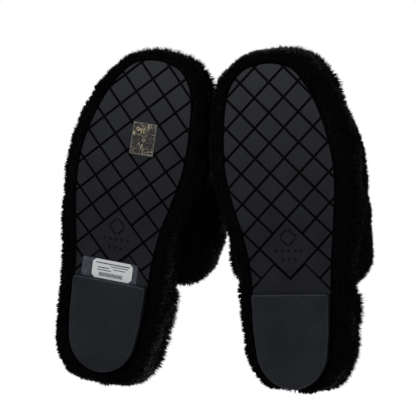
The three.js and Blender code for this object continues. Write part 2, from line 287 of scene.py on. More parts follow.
CLUMP_CELL = 4.5
CELL_HASH = (73856093, 19349663, 83492791)  # large primes that mix a cell's three numbers
JITTER_STEPS = 9973
STRAND_POINTS = 7
SLIVER_SLIMNESS = 6


def scatter(grid, normals, count, rng, close_rows, close_columns, keep=None):
    """Random roots spread evenly by area over a grid surface, with normals."""
    rows, columns = grid.shape[:2]
    quads = np.array(grid_faces(rows, columns, close_rows, close_columns))
    points, directions = grid.reshape(-1, 3), normals.reshape(-1, 3)
    triangles = np.vstack([quads[:, [0, 1, 2]], quads[:, [0, 2, 3]]])
    a, b, c = (points[triangles[:, i]] for i in range(3))
    area = np.linalg.norm(np.cross(b - a, c - a), axis=1)
    if keep is not None:
        area = area * keep((a + b + c) / 3, directions[triangles[:, 0]])
    chosen = rng.choice(len(triangles), count, p=area / area.sum())
    u, v = rng.random(count), rng.random(count)
    over = u + v > 1
    u[over], v[over] = 1 - u[over], 1 - v[over]
    weights = np.stack([1 - u - v, u, v], 1)[..., None]
    root = (points[triangles[chosen]] * weights).sum(1)
    normal = (directions[triangles[chosen]] * weights).sum(1)
    return root, unit(normal)


def clump_centres(points, cell):
    """The middle of the clump that each point belongs to, on a jittered grid."""
    index = np.floor(points / cell).astype(np.int64)
    seed = (index * np.array(CELL_HASH)).sum(1) & 0xFFFFFF
    jitter = np.stack([((seed * k) % JITTER_STEPS) / JITTER_STEPS for k in (31, 57, 91)], 1)
    return (index + 0.2 + 0.6 * jitter) * cell


def strand_lines(root, normal, length, lean, clump, wildness, rng):
    """The bend and the tip of each strand. lean is a direction field."""
    pull = clump_centres(root, CLUMP_CELL) - root
    pull -= normal * (pull * normal).sum(1)[:, None]
    direction = unit(normal + lean + rng.normal(size=root.shape) * wildness)
    curl = rng.normal(size=root.shape) * 0.35 * wildness
    bend = root + direction * length[:, None] * 0.5 + pull * clump * 0.35
    tip_direction = unit(direction + lean * 0.8 + curl)
    tip = bend + tip_direction * length[:, None] * 0.5 + pull * clump * 0.65
    return bend, tip


def strands(root, bend, tip, thickness):
    """Closed three-sided tapering strands: points, faces, and how far up the strand each point is."""
    count = len(root)
    axis = unit(tip - root)
    helper = np.where(np.abs(axis[:, 2:3]) < 0.8, [[0.0, 0.0, 1.0]], [[1.0, 0.0, 0.0]])
    first = unit(np.cross(axis, helper))
    second = np.cross(axis, first)
    rings = []
    for centre, share in ((root, 1.0), (bend, 0.72)):
        for corner in range(3):
            angle = corner * 2 * math.pi / 3
            arm = first * math.cos(angle) + second * math.sin(angle)
            rings.append(centre + arm * (thickness * share)[:, None])
    points = np.stack([*rings, tip], 1).reshape(-1, 3)
    pattern = np.array([(0, 2, 1), (0, 1, 4), (0, 4, 3), (1, 2, 5), (1, 5, 4), (2, 0, 3), (2, 3, 5),
                        (3, 4, 6), (4, 5, 6), (5, 3, 6)])
    faces = (pattern[None] + np.arange(count)[:, None, None] * STRAND_POINTS).reshape(-1, 3)
    height = np.tile(np.array([0.0] * 3 + [0.5] * 3 + [1.0]), count)
    return points, faces, height


def fur_piece(name, points, faces, height, shade, side, material):
    """A mesh of many strands, with attributes that its material reads and a map to bake to."""
    if side == "right":
        faces = faces[:, ::-1]
    mesh = bpy.data.meshes.new(name)
    mesh.vertices.add(len(points))
    mesh.vertices.foreach_set("co", placed(points, side).astype(np.float32).ravel())
    mesh.loops.add(faces.size)
    mesh.loops.foreach_set("vertex_index", faces.astype(np.int32).ravel())
    mesh.polygons.add(len(faces))
    mesh.polygons.foreach_set("loop_start", np.arange(0, faces.size, 3, dtype=np.int32))
    mesh.polygons.foreach_set("use_smooth", np.ones(len(faces), bool))
    mesh.update()
    give_attribute(mesh, "strand_height", height)
    give_attribute(mesh, "strand_shade", np.repeat(shade, STRAND_POINTS))
    add_bake_map(mesh, len(shade), faces)
    mesh.materials.append(material)
    return linked(name, mesh)


def add_bake_map(mesh, count, faces):
    """Every strand's map is a thin upright sliver, beside the slivers of the others."""
    columns = math.ceil(math.sqrt(count * SLIVER_SLIMNESS))
    rows = math.ceil(count / columns)
    strand = np.arange(count)[:, None]
    corner = np.array([0.1, 0.5, 0.9, 0.1, 0.5, 0.9, 0.5])
    up = np.array([0.05, 0.05, 0.05, 0.5, 0.5, 0.5, 0.95])
    u = ((strand % columns) / columns + corner / columns).ravel()
    v = ((strand // columns) / rows + up / rows).ravel()
    layer = mesh.uv_layers.new(name="OFBake")
    pairs = np.stack([u[faces.ravel()], v[faces.ravel()]], 1).astype(np.float32)
    layer.data.foreach_set("uv", pairs.ravel())


# ------ materials


def add_node(tree, kind, **inputs):
    """A shader node, each of whose inputs gets a value or a link."""
    node = tree.nodes.new(f"ShaderNode{kind}")
    for name, value in inputs.items():
        give(tree, node.inputs[name.replace("_", " ")], value)
    return node


def give(tree, socket, value):
    if isinstance(value, bpy.types.NodeSocket):
        tree.links.new(value, socket)
    else:
        socket.default_value = value


def node_material(name, color, roughness, **inputs):
    material = bpy.data.materials.new(name)
    material.use_nodes = True
    tree = material.node_tree
    shader = tree.nodes["Principled BSDF"]
    inputs |= {"Base_Color": (*color, 1.0), "Roughness": roughness}
    for socket, value in inputs.items():
        give(tree, shader.inputs[socket.replace("_", " ")], value)
    return material, tree, shader


def texture(tree, kind, **inputs):
    """A procedural texture in the object's own space."""
    place = add_node(tree, "TexCoord").outputs["Object"]
    return add_node(tree, f"Tex{kind}", Vector=place, **inputs).outputs


def noise(tree, scale, detail):
    return texture(tree, "Noise", Scale=scale, Detail=detail, Roughness=0.55)["Fac"]


def read_attribute(tree, name):
    node = add_node(tree, "Attribute")
    node.attribute_name = name
    return node.outputs["Fac"]


def times(tone, factor):
    return tuple(factor * channel for channel in tone)


def paint(tree, shader, color):
    give(tree, shader.inputs["Base Color"], color)


def ramp(tree, value, stops):
    """A colour ramp; stops are (place, colour)."""
    node = add_node(tree, "ValToRGB", Fac=value)
    elements = node.color_ramp.elements
    while len(elements) < len(stops):
        elements.new(0.5)
    for element, (place, color) in zip(elements, stops):
        element.position = place
        element.color = (*color, 1.0)
    return node.outputs["Color"]


def spread(tree, value, low, high, from_low=0.0, from_high=1.0):
    return add_node(tree, "MapRange", Value=value, From_Min=from_low, From_Max=from_high, To_Min=low,
                    To_Max=high).outputs["Result"]


def bump(tree, shader, height, distance, strength=1.0):
    node = add_node(tree, "Bump", Strength=strength, Distance=distance, Height=height)
    give(tree, shader.inputs["Normal"], node.outputs["Normal"])


def mixed(tree, factor, first, second, blend="MIX"):
    node = add_node(tree, "Mix")
    node.data_type = "RGBA"
    node.blend_type = blend
    for name, value in (("Factor", factor), ("A", first), ("B", second)):
        socket = next(s for s in node.inputs if s.name == name and s.enabled)
        give(tree, socket, (*value, 1.0) if isinstance(value, tuple) else value)
    return next(s for s in node.outputs if s.enabled)


RUBBER_SHINE = 0.28


def rubber_material(name, tone, roughness, groove_shade=False, worn_and_lit=False):
    """Moulded rubber: fine pebbled grain, faint dusty blooms, painted shade darker down its grooves."""
    material, tree, shader = node_material(name, tone, roughness, Specular_IOR_Level=RUBBER_SHINE)
    bloom = noise(tree, 38.0, 4.0)
    fine = noise(tree, 900.0, 2.0)
    color = ramp(tree, bloom, [(0.3, times(tone, 0.7)), (0.7, times(tone, 1.4))])
    grain = ramp(tree, fine, [(0.35, (0.82, 0.82, 0.82)), (0.65, (1.0, 1.0, 1.0))])
    color = mixed(tree, 1.0, color, grain, "MULTIPLY")
    if groove_shade:
        # Painted shade: darker and less shiny down the grooves; the raised waist marks darken too.
        depth = read_attribute(tree, "groove_depth")
        shadow = ramp(tree, depth, [(0.02, (1.0, 1.0, 1.0)), (0.45, (0.08, 0.08, 0.08))])
        color = mixed(tree, 1.0, color, shadow, "MULTIPLY")
        tree.links.new(spread(tree, depth, RUBBER_SHINE, 0.04), shader.inputs["Specular IOR Level"])
    if worn_and_lit:
        # Paler lower bevel, 2.6 times the tone: partly edge wear, partly painted highlight.
        paler = mixed(tree, 1.0, color, (2.6, 2.6, 2.6), "MULTIPLY")
        color = mixed(tree, read_attribute(tree, "edge_wear_and_highlight"), color, paler)
    paint(tree, shader, color)
    uneven = spread(tree, bloom, roughness - 0.05, roughness + 0.07, 0.3, 0.7)
    tree.links.new(uneven, shader.inputs["Roughness"])
    bump(tree, shader, fine, 0.00012, 0.5)
    return material


def fur_material(name, tone, sheen):
    """Pile: each strand has its own tone, and painted shade darkens it towards its root."""
    material, tree, shader = node_material(name, tone, 0.75, Specular_IOR_Level=0.08, Sheen_Weight=sheen,
                                           Sheen_Roughness=0.45, Sheen_Tint=(0.75, 0.85, 0.8, 1.0))
    stops = [(0.0, times(tone, 0.45)), (0.55, tone), (1.0, times(tone, 2.0))]
    own = ramp(tree, read_attribute(tree, "strand_shade"), stops)
    # Painted shade: a strand's colour falls to 0.35 of itself at the root.
    rooted = spread(tree, read_attribute(tree, "strand_height"), 0.35, 1.0)
    node = add_node(tree, "VectorMath")
    node.operation = "SCALE"
    give(tree, node.inputs[0], own)
    give(tree, node.inputs["Scale"], rooted)
    paint(tree, shader, node.outputs["Vector"])
    return material


def underfur_material(name, tone):
    """The felted mass under the strands."""
    material, tree, shader = node_material(name, tone, 0.9, Specular_IOR_Level=0.1)
    tufts = noise(tree, 420.0, 3.0)
    paint(tree, shader, ramp(tree, tufts, [(0.35, times(tone, 0.4)), (0.68, tone)]))
    bump(tree, shader, tufts, 0.0012, 0.8)
    return material


def woven_material(name, tone):
    material, tree, shader = node_material(name, tone, 0.9, Specular_IOR_Level=0.1)
    weave = texture(tree, "Wave", Scale=420.0, Distortion=1.5)["Fac"]
    paint(tree, shader, ramp(tree, weave, [(0.2, times(tone, 0.5)), (0.8, tone)]))
    bump(tree, shader, weave, 0.0002, 0.7)
    return material


def speckled_material(name, base, fleck, roughness, scale):
    """Foam, board, felt or ink: a base tone with flecks of another."""
    material, tree, shader = node_material(name, base, roughness)
    cells = texture(tree, "Voronoi", Scale=scale)
    paint(tree, shader, ramp(tree, cells["Color"], [(0.25, base), (0.75, fleck)]))
    bump(tree, shader, cells["Distance"], 0.0001, 0.4)
    return material


def foil_material():
    """Clear film over dark rubber, with a pale border and broken gold threads."""
    material, tree, shader = node_material("foil", (0.05, 0.05, 0.055), 0.35, Specular_IOR_Level=0.5)
    threads = ramp(tree, noise(tree, 430.0, 1.0), [
        (0.445, (0.016, 0.017, 0.022)), (0.48, (0.74, 0.6, 0.3)), (0.51, (0.66, 0.57, 0.36)),
        (0.545, (0.017, 0.018, 0.023))])
    patches = ramp(tree, noise(tree, 150.0, 2.0), [(0.46, (0.2, 0.2, 0.24)), (0.56, (1.0, 1.0, 1.0))])
    inner = mixed(tree, 1.0, threads, patches, "MULTIPLY")
    edge = spread(tree, read_attribute(tree, "border_distance"), 0.8, 0.0, 0.3, 1.1)
    paint(tree, shader, mixed(tree, edge, inner, (0.19, 0.185, 0.17)))
    return material


def film_material(name, tone, roughness, scale, stops, **sockets):
    """Label paper or clear tape: a tone that drifts a little."""
    material, tree, shader = node_material(name, tone, roughness, **sockets)
    paint(tree, shader, ramp(tree, noise(tree, scale, 3.0), stops))
    return material


# name, base tone, tone of the flecks, roughness, and how fine the flecks are
SPECKLED = (
    ("platform_foam", (0.02, 0.02, 0.022), (0.035, 0.035, 0.04), 0.85, 700.0),
    ("insole_board", (0.24, 0.17, 0.1), (0.33, 0.25, 0.16), 0.85, 500.0),
    ("cushion_foam", (0.012, 0.012, 0.013), (0.024, 0.024, 0.026), 0.9, 800.0),
    ("interlining", (0.004, 0.004, 0.0045), (0.008, 0.008, 0.009), 0.9, 900.0),
    ("label_ink", (0.03, 0.03, 0.032), (0.07, 0.07, 0.075), 0.6, 900.0),
)
MATERIALS = {row[0]: speckled_material(*row) for row in SPECKLED}
MATERIALS |= {
    "sole_rubber": rubber_material("sole_rubber", (0.0100, 0.0106, 0.0150), 0.47, groove_shade=True),
    "lift_rubber": rubber_material("lift_rubber", (0.0118, 0.0138, 0.0184), 0.47, worn_and_lit=True),
    "pile": fur_material("pile", (0.0030, 0.0040, 0.0035), 0.008),
    "sock_pile": fur_material("sock_pile", (0.0030, 0.0036, 0.0033), 0.01),
    "underfur": underfur_material("underfur", (0.0016, 0.0018, 0.0018)),
    "binding": woven_material("binding", (0.0012, 0.0014, 0.0014)),
    "thread": woven_material("thread", (0.006, 0.006, 0.007)),
    "foil": foil_material(),
    "label_paper": film_material("label_paper", (0.93, 0.93, 0.92), 0.5, 300.0,
                                 [(0.3, (0.9, 0.9, 0.89)), (0.7, (0.97, 0.97, 0.96))]),
    "clear_tape": film_material("clear_tape", (0.09, 0.095, 0.115), 0.3, 260.0,
                                [(0.35, (0.06, 0.065, 0.08)), (0.7, (0.14, 0.15, 0.18))], Alpha=0.75),
}


# ------ outsole


SLAB_POINTS = 260
SMALLEST_BLOCK = 2.0  # square millimetres
BLOCK_ROOT = 0.3  # how far a block goes into the slab
BLOCK_BEVEL = 0.4
MARK_RELIEF = 0.28
MARK_HALF_DIAGONAL = 8.2
MARK_BAR = 1.5
MARK_SHIFT = 9.0  # from the panel's middle towards the toe
STUD_HALF_DIAGONAL = 1.4
STUD_STEP = 5.0
STUD_ROWS = ((5, 1.5), (3, 8.5))  # studs in a row, and how far it lies behind the panel's middle
LIFT_POINTS = 240
PANEL_MIDDLE = FIRST_CROSSING + (PANEL_ROW + 1) * CELL_DIAGONAL
GROOVE_STEP = GROOVE_WIDTH / math.sqrt(2)  # a groove's half width, along the shoe


def clipped(polygon, point, normal):
    """The part of a polygon on the side of a line that the normal points away from."""
    kept = []
    for here, there in zip(polygon, np.roll(polygon, -1, 0)):
        a, b = (here - point) @ normal, (there - point) @ normal
        if a <= 0:
            kept.append(here)
        if (a < 0 < b) or (b < 0 < a):
            kept.append(here + (there - here) * (a / (a - b)))
    return np.array(kept)


def diamond_part(polygon, centre, half_diagonal):
    """The part of a polygon inside a square that stands on its corner."""
    for x, y in ((1, 1), (1, -1), (-1, 1), (-1, -1)):
        normal = np.array([x, y]) / math.sqrt(2)
        corner = np.array(centre) + np.array([x, 0]) * half_diagonal
        if len(polygon) < 3:
            break
        polygon = clipped(polygon, corner, normal)
    return polygon


def tread_blocks():
    """Outlines of the tread's blocks: whole and cut squares, the plain diamond and the plain wedge."""
    outline = evenly(OUTLINE, SLAB_POINTS, closed=True)
    half = CELL_DIAGONAL / 2
    blocks = [diamond_part(outline, (0.0, PANEL_MIDDLE), CELL_DIAGONAL - GROOVE_STEP)]
    for row in range(-3, 2 * PANEL_ROW + 8):
        for column in range(-5, 6):
            if (row + column) % 2 == 0:
                continue
            across, along = column * half, FIRST_CROSSING + row * half
            in_panel = abs(across) + abs(along - PANEL_MIDDLE) < CELL_DIAGONAL - 1
            in_wedge = abs(across) < along - PANEL_MIDDLE
            if in_panel or in_wedge:
                continue
            block = diamond_part(outline, (across, along), half - GROOVE_STEP)
            if len(block) > 2 and area_of(block) > SMALLEST_BLOCK:
                blocks.append(block)
    blocks.append(wedge_block(outline))
    return blocks


def area_of(polygon):
    x, y = polygon[:, 0], polygon[:, 1]
    return 0.5 * abs(np.dot(x, np.roll(y, -1)) - np.dot(y, np.roll(x, -1)))


def wedge_block(outline):
    """The plain field behind the diamond, up to the heel lift's breast and under it."""
    apex = np.array([0.0, PANEL_MIDDLE + GROOVE_STEP])
    wedge = clipped(outline, apex, np.array([1.0, -1.0]) / math.sqrt(2))
    wedge = clipped(wedge, apex, np.array([-1.0, -1.0]) / math.sqrt(2))
    nearest = int(np.argmin(np.linalg.norm(wedge - apex, axis=1)))
    reach = CELL_DIAGONAL / 2 + GROOVE_STEP
    point = (0.0, PANEL_MIDDLE + CELL_DIAGONAL + GROOVE_STEP)
    notch = np.array([(reach, PANEL_MIDDLE + reach), point, (-reach, PANEL_MIDDLE + reach)])
    before, after = wedge[nearest - 1], wedge[(nearest + 1) % len(wedge)]
    if before[0] < after[0]:
        notch = notch[::-1]
    return np.vstack([wedge[:nearest], notch, wedge[nearest + 1:]])


def inset(polygon, distance):
    """A polygon, anticlockwise and without tiny edges, and the same moved inwards."""
    x, y = polygon[:, 0], polygon[:, 1]
    if np.dot(x, np.roll(y, -1)) - np.dot(y, np.roll(x, -1)) < 0:
        polygon = polygon[::-1]
    edge = np.roll(polygon, -1, 0) - polygon
    length = np.linalg.norm(edge, axis=1)
    polygon, edge = polygon[length > 0.05], edge[length > 0.05]
    edge = np.roll(polygon, -1, 0) - polygon
    normal = np.stack([-edge[:, 1], edge[:, 0]], 1) / np.linalg.norm(edge, axis=1)[:, None]
    before = np.roll(normal, 1, 0)
    mitre = normal + before
    mitre /= np.maximum((mitre * normal).sum(1), 0.5)[:, None]
    return polygon, polygon + mitre * distance


def add_prism(bm, outline, low, high, bevel):
    """A block from a bevelled lower face up to its root."""
    edge, lower = inset(outline, bevel)
    rings = [(lower, low), (edge, low + bevel), (edge, high)]
    loops = [[bm.verts.new((x, y, z)) for x, y in ring] for ring, z in rings]
    count = len(loops[0])
    bm.faces.new(loops[0][::-1])
    bm.faces.new(loops[2])
    for below, above in zip(loops, loops[1:]):
        for i in range(count):
            bm.faces.new((below[i], below[(i + 1) % count], above[(i + 1) % count], above[i]))


def follow_sole(bm, step=4.0):
    """Cuts the flat mesh across the shoe and bends it to the sole's side profile."""
    for along in np.arange(step, SOLE_LENGTH, step):
        everything = bm.verts[:] + bm.edges[:] + bm.faces[:]
        bmesh.ops.bisect_plane(bm, geom=everything, dist=1e-4, plane_co=(0, along, 0),
                               plane_no=(0, 1, 0))
    for vertex in bm.verts:
        vertex.co.z += float(underside(vertex.co.y))


def taken(bm):
    bmesh.ops.recalc_face_normals(bm, faces=bm.faces)
    bm.verts.index_update()
    points = np.array([v.co[:] for v in bm.verts])
    faces = [[v.index for v in face.verts] for face in bm.faces]
    bm.free()
    return points, faces


def outsole_mesh():
    bm = bmesh.new()
    for block in tread_blocks():
        add_prism(bm, block, 0.0, GROOVE_DEPTH + BLOCK_ROOT, BLOCK_BEVEL)
    add_prism(bm, evenly(OUTLINE, SLAB_POINTS, closed=True), GROOVE_DEPTH, OUTSOLE_THICKNESS, 0.05)
    for mark in waist_marks():
        add_prism(bm, mark, -MARK_RELIEF, 0.05, 0.12)
    follow_sole(bm)
    return taken(bm)


def waist_marks():
    """Plain relief in the panel: a small diamond's four bars and two rows of studs."""
    marks = []
    side, bar = MARK_HALF_DIAGONAL / math.sqrt(2), MARK_BAR
    start, end = -side + bar, side - 1.3 * bar
    strip = np.array([(start, side - bar), (end, side - bar), (end, side), (start, side)])
    for angle in (0.25 * math.pi, 0.75 * math.pi, 1.25 * math.pi, 1.75 * math.pi):
        turn = np.array([[math.cos(angle), -math.sin(angle)], [math.sin(angle), math.cos(angle)]])
        marks.append(strip @ turn.T + [0.0, PANEL_MIDDLE - MARK_SHIFT])
    stud = STUD_HALF_DIAGONAL * np.array([(-1.0, 0.0), (0.0, -1.0), (1.0, 0.0), (0.0, 1.0)])
    for count, along in STUD_ROWS:
        for place in range(count):
            marks.append(stud + [(place - (count - 1) / 2) * STUD_STEP, PANEL_MIDDLE + along])
    return marks


def heel_lift_mesh():
    """The D-shaped lift: straight breast with round corners, and a bevel with a soft shoulder."""
    back = [*heel_points(1)[1:], (0.0, SOLE_LENGTH), *heel_points(-1)[1:][::-1]]
    half, corner = HEEL_HALF_WIDTH, HEEL_LIFT_CORNER
    right = [(half - corner + corner * math.sin(t), HEEL_BREAST + corner * (1 - math.cos(t)))
             for t in np.linspace(0, math.pi / 2, 7)]
    left = [(-x, y) for x, y in right[::-1]]
    arc = spline(back, closed=False)
    ring = evenly(np.vstack([[(0.0, HEEL_BREAST)], right, arc, left]), LIFT_POINTS, closed=True)
    normal = outward(ring)
    over = HEEL_LIFT_OVERHANG
    profile = [(-1.7, 0.0), (-1.05, 0.0), (-0.8, 0.12), (-0.35, 0.6), (-0.05, 1.3), (0.6 * over, 2.6),
               (over, 4.2), (over, HEEL_LIFT_HEIGHT)]
    return capped([np.column_stack([ring + normal * offset, np.full(len(ring), height)])
                   for offset, height in profile])


def capped(rows):
    """A stack of rings with a floor and a lid, each filled by rungs across it."""
    count = len(rows[0])
    points = np.vstack(rows)
    faces = grid_faces(len(rows), count, close_columns=True)
    for level, flip in ((0, True), (len(rows) - 1, False)):
        for i in range(count // 2):
            rung = [i, (i + 1) % count, (count - i - 1) % count, (count - i) % count]
            rung = list(dict.fromkeys(level * count + k for k in rung))
            if len(rung) > 2:
                faces.append(tuple(rung[::-1] if flip else rung))
    return points, faces


# ------ soft bodies


RING_POINTS = 300
WRAP_ROUND_POINTS = 34
WRAP_REACH = 9.5
WRAP_TOE_THINNING = {"left": 1.6, "right": 5.2}
WRAP_HEEL_THINNING = {"left": 8.2, "right": 2.0}
WRAP_HEEL_CORNERS = {"left": -0.8, "right": 3.4}
# how much further the wrap reaches: outer and inner side at the toe, then at the heel
WRAP_FLUFF = {"left": (4.6, 1.4, 1.8, -0.4), "right": (1.2, -2.4, 2.8, 1.6)}
WRAP_HEEL_TRIM = {"left": 0.3, "right": 0.0}
TOE_TO_HEEL = (110.0, 190.0)  # where the toe's fluff gives way to the heel's
UNDER_BAND_START = 22.0
UNDER_BAND_END = 190.0
WRAP_HEM = 1.6
WRAP_ROLL = 3.0
WRAP_TOP = 29.0
WRAP_RISE = 4.0
ROUNDING = 2 / 3.2
SOCK_FUR_DEPTH = 4.0


def rounded(wave):
    """A sine or cosine pushed out towards a round-cornered box."""
    return np.sign(wave) * np.abs(wave) ** ROUNDING


def under_band(along):
    """One under the band's feet, nought at the toe and the heel."""
    return smoothstep(along, UNDER_BAND_START, BAND_FRONT_SIDE) * (
        1 - smoothstep(along, BAND_REAR_OUTER, UNDER_BAND_END))


def wrap_grid(side, rng):
    """The wrap's underfur: a rounded tube round the platform. Rows run along the edge."""
    ring = evenly(OUTLINE, RING_POINTS, closed=True)
    normal = outward(ring)
    around = np.linspace(0, 2 * math.pi, WRAP_ROUND_POINTS, endpoint=False)
    toeward, heelward = np.maximum(0.0, -normal[:, 1]), np.maximum(0.0, normal[:, 1])
    corner = WRAP_HEEL_CORNERS[side] * 4 * normal[:, 0] ** 2 * heelward ** 2
    outer, inner = np.maximum(0.0, normal[:, 0]), np.maximum(0.0, -normal[:, 0])
    toe_outer, toe_inner, heel_outer, heel_inner = WRAP_FLUFF[side]
    heel = smoothstep(ring[:, 1], *TOE_TO_HEEL)
    toe_fluff = (toe_outer * outer ** 2 + toe_inner * inner) * (1 - heel)
    heel_fluff = (heel_outer * outer + heel_inner * inner) * heel
    thinned = WRAP_TOE_THINNING[side] * toeward ** 2 + WRAP_HEEL_THINNING[side] * heelward ** 4
    reach = WRAP_REACH - thinned + corner + toe_fluff + heel_fluff
    uncovered = 1 - under_band(ring[:, 1])
    high = WRAP_TOP + WRAP_RISE * uncovered
    middle, half_height = (high + WRAP_HEM) / 2, (high - WRAP_HEM) / 2
    half_width = (reach + FIT_GAP) / 2
    cosine, sine = rounded(np.cos(around)), rounded(np.sin(around))
    lean = 0.09 * (1 + sine[:, None]) * half_width[None]
    roll = WRAP_ROLL * (smoothstep(sine, 0.55, 0.95) * (cosine < 0))[:, None] * uncovered[None]
    width = (reach - FIT_GAP)[None] / 2 + half_width[None] * cosine[:, None] + lean - roll
    tall = middle[None] + half_height[None] * sine[:, None]
    grid = np.zeros((len(around), len(ring), 3))
    grid[..., :2] = ring[None] + normal[None] * width[..., None]
    grid[..., 2] = tall + underside(ring[:, 1])[None]
    flat = grid.reshape(-1, 3)
    outwards = grid_normals(grid, True, True).reshape(-1, 3)
    lump = ripple(flat, 16.0, 0.7, rng) + ripple(flat, 60.0, 0.5, rng)
    return (flat + outwards * lump[:, None]).reshape(grid.shape)


def sock_rows(rng):
    """The sock's underfur: a soft pad with a rounded edge, from its floor to its crown."""
    ring = evenly(OUTLINE, RING_POINTS, closed=True)
    normal = outward(ring)
    low, top = SEAM_HEIGHT, SOCK_TOP - SOCK_FUR_DEPTH
    profile = [(-3.4, low), (-2.9, low + 1.1), (-0.2, low + 1.5), (0.0, top - 3.0), (-1.2, top - 1.2),
               (-3.6, top - 0.2), (-8.0, top + 0.2), (-14.0, top + 0.1), (-20.0, top - 0.1)]
    spare = -1.0 - 2.2 * under_band(ring[:, 1])
    rows = []
    for offset, height in profile:
        moved = ring + normal * (offset + spare)[:, None]
        rows.append(np.column_stack([moved, height + underside(moved[:, 1])]))
    flat = np.vstack(rows[3:])
    lumps = ripple(flat, 14.0, 0.5, rng).reshape(len(rows) - 3, -1)
    for row, lump in zip(rows[3:], lumps):
        row[:, 2] += lump
    return rows


BAND_COLUMNS = 84
BAND_ROWS = 20
LINING_ROWS = 16
RIM_ROWS = 7
RIM_SHARE = 0.045  # where a rim's half round starts, as a share of the way from edge to edge
BAND_DEPTHS = (4.1, 12.9)  # of the pile's two faces under the fur's outer form
LINING_DEPTHS = (14.2, 15.6)
TAPE_DEPTH = 13.6
TAPE_HALF_SIZE = (1.2, 1.5)
# how much further the pile stands out: outer side at the front and rear edge, then the inner side
BAND_FLUFF = {"left": (4.6, 1.0, 0.0, 0.0), "right": (1.2, 2.0, 0.0, 6.0)}


def band_side(share, side, rear, reach, narrowing):
    """How far the band reaches on one side, and where its foot stands: across and height."""
    along = BAND_FRONT_SIDE + (rear - BAND_FRONT_SIDE) * share
    foot = float(sole_reach(along, side)) + PILE_THICKNESS + FIT_GAP
    return reach - narrowing * (1 - share) ** 2, foot, float(underside(along)) + BAND_FOOT


def band_section(share):
    """The band's outer section at a share of the way from its front to its rear edge."""
    outer, outer_foot, outer_base = band_side(share, 1, BAND_REAR_OUTER, BAND_OUTER_REACH,
                                              BAND_FRONT_OUTER_NARROWING)
    inner, inner_foot, inner_base = band_side(share, -1, BAND_REAR_INNER, BAND_INNER_REACH,
                                              BAND_FRONT_INNER_NARROWING)
    lift = math.sin(np.clip(share, 0.0, 1.0) * math.pi / 2)
    top = BAND_FRONT_HEIGHT + (BAND_REAR_HEIGHT - BAND_FRONT_HEIGHT) * lift
    base = (outer_base + inner_base) / 2
    rise = top - base
    points = [(outer_foot, outer_base), (max(outer, outer_foot) - 0.5, base + 0.18 * rise),
              (outer - 1.5, base + 0.42 * rise), (0.74 * outer, base + 0.82 * rise), (-0.1 * inner, top),
              (-0.76 * inner, base + 0.86 * rise), (-inner + 1, base + 0.46 * rise),
              (-max(inner - 3, inner_foot - 1), base + 0.2 * rise), (-inner_foot, inner_base)]
    return evenly(spline(points, closed=False), BAND_COLUMNS, closed=False)


def band_grid(stations):
    """Rows of points round the band. A station is (share, push along the shoe, depth)."""
    sections = np.array([band_section(share) for share, _, _ in stations])
    tangent = unit(np.gradient(sections, axis=1))
    inward = np.stack([-tangent[..., 1], tangent[..., 0]], 2)
    around = np.linspace(0.0, 1.0, BAND_COLUMNS)
    near_foot = 1 - smoothstep(np.minimum(around, 1 - around), 0.0, 0.1)
    level = np.stack([np.where(around < 0.5, -1.0, 1.0), np.zeros_like(around)], 1)
    inward = unit(inward * (1 - near_foot)[None, :, None] + level[None] * near_foot[None, :, None])
    crest = np.sin(around * math.pi)
    front = BAND_FRONT_SIDE + (BAND_FRONT_TOP - BAND_FRONT_SIDE) * crest ** 1.5
    side = BAND_REAR_OUTER + (BAND_REAR_INNER - BAND_REAR_OUTER) * smoothstep(around, 0.3, 0.7)
    rear = side + (BAND_REAR_TOP - side) * crest
    grid = np.zeros((len(stations), BAND_COLUMNS, 3))
    for row, (share, push, depth) in enumerate(stations):
        point = sections[row] + inward[row] * depth
        grid[row, :, 0] = point[:, 0]
        grid[row, :, 1] = front + (rear - front) * share + push
        grid[row, :, 2] = point[:, 1]
    return grid


def band_stations(outer_depth, inner_depth, rows):
    """A loop round the band's thickness, with half-round front and rear rims."""
    middle, radius = (outer_depth + inner_depth) / 2, (inner_depth - outer_depth) / 2
    angles = np.linspace(math.pi / 2, -math.pi / 2, RIM_ROWS + 2)[1:-1]
    front, rear = RIM_SHARE, 1 - RIM_SHARE
    loop = [(share, 0.0, outer_depth) for share in np.linspace(front, rear, rows)]
    loop += [(rear, radius * 1.1 * math.cos(t), middle - radius * math.sin(t)) for t in angles]
    loop += [(share, 0.0, inner_depth) for share in np.linspace(rear, front, rows)]
    loop += [(front, -radius * 1.1 * math.cos(t), middle + radius * math.sin(t)) for t in angles]
    return loop


def band_fluff(side, grid, stations):
    """Each slipper's own swell of the pile at the band's sides."""
    front_outer, rear_outer, front_inner, rear_inner = BAND_FLUFF[side]
    share = np.array([station[0] for station in stations])[:, None]
    across = grid[..., 0]
    outer = smoothstep(across, 0.45 * BAND_OUTER_REACH, 0.85 * BAND_OUTER_REACH)
    inner = smoothstep(-across, 0.45 * BAND_INNER_REACH, 0.85 * BAND_INNER_REACH)
    early = smoothstep(share, -0.15, 0.3)
    late = smoothstep(share, 0.4, 0.7) * (1 - 0.65 * smoothstep(share, 0.8, 1.0))
    return (front_outer * early + (rear_outer - front_outer) * share) * outer + (
        front_inner + (rear_inner - front_inner) * late) * inner


def closed_tube(grid):
    """A looped grid with its two ends filled."""
    rows, columns = grid.shape[:2]
    faces = [face[::-1] for face in grid_faces(rows, columns, close_rows=True)]
    faces.append(tuple(row * columns for row in range(rows)))
    faces.append(tuple(row * columns + columns - 1 for row in range(rows))[::-1])
    return grid.reshape(-1, 3), faces


# ------ fur on the bodies


SEEDS = {"left": 11, "right": 29}
FLOOR_CLEARANCE = 0.25
WRAP_FUR_LENGTH = 3.9
WRAP_FUR_EXTRA = 3.4  # on the wrap's upper edge at the toe and the heel
BAND_FUR_LENGTH = 5.2
SOCK_FUR_LENGTH = 4.6
LINING_FUR_LENGTH = 2.6
